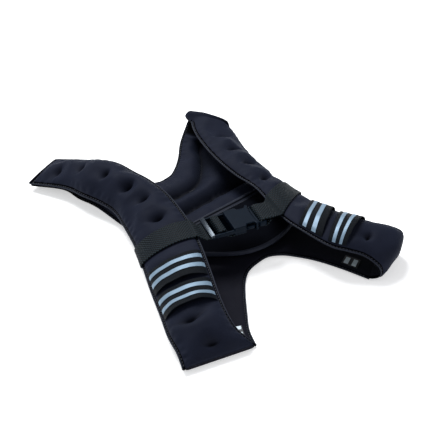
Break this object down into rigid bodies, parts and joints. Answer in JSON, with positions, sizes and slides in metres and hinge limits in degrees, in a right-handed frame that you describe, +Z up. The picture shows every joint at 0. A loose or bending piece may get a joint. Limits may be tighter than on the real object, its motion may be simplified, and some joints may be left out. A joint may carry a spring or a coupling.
{
  "type": "weighted training vest",
  "caption": "Padded neoprene training vest with weighted front panels, a quilted back, an arched waist yoke, a buckled chest strap and reflective elastic bands.",
  "frame": {"origin": "on the floor under the middle of the laid vest's box", "axes": "+X to the wearer's left, +Y to the wearer's head, +Z up from the floor that the back lies on"},
  "size_m": [0.3553, 0.471, 0.0623],
  "materials": {
    "neoprene": "matte laminated knit",
    "lining": "matte laminated knit",
    "webbing": "twill weave",
    "elastic": "ribbed weave",
    "reflective": "retroreflective tape",
    "label": "printed satin",
    "plastic": "satin moulded"
  },
  "bodies": {
    "root": {"back_panel": "neoprene", "back_pocket": "neoprene", "waist_yoke": "lining", "front_panel_right": "neoprene", "front_panel_left": "neoprene", "chest_strap_right": "webbing", "chest_strap_left": "webbing", "buckle_socket": "plastic", "buckle_prongs": "plastic", "label_right": "label", "label_left": "label", "band_right_upper": "elastic", "stripe_right_upper_1": "reflective", "stripe_right_upper_2": "reflective", "band_right_lower": "elastic", "stripe_right_lower_1": "reflective", "stripe_right_lower_2": "reflective", "band_left_upper": "elastic", "stripe_left_upper_1": "reflective", "stripe_left_upper_2": "reflective", "band_left_lower": "elastic", "stripe_left_lower_1": "reflective", "stripe_left_lower_2": "reflective"}
  },
  "joints": []
}
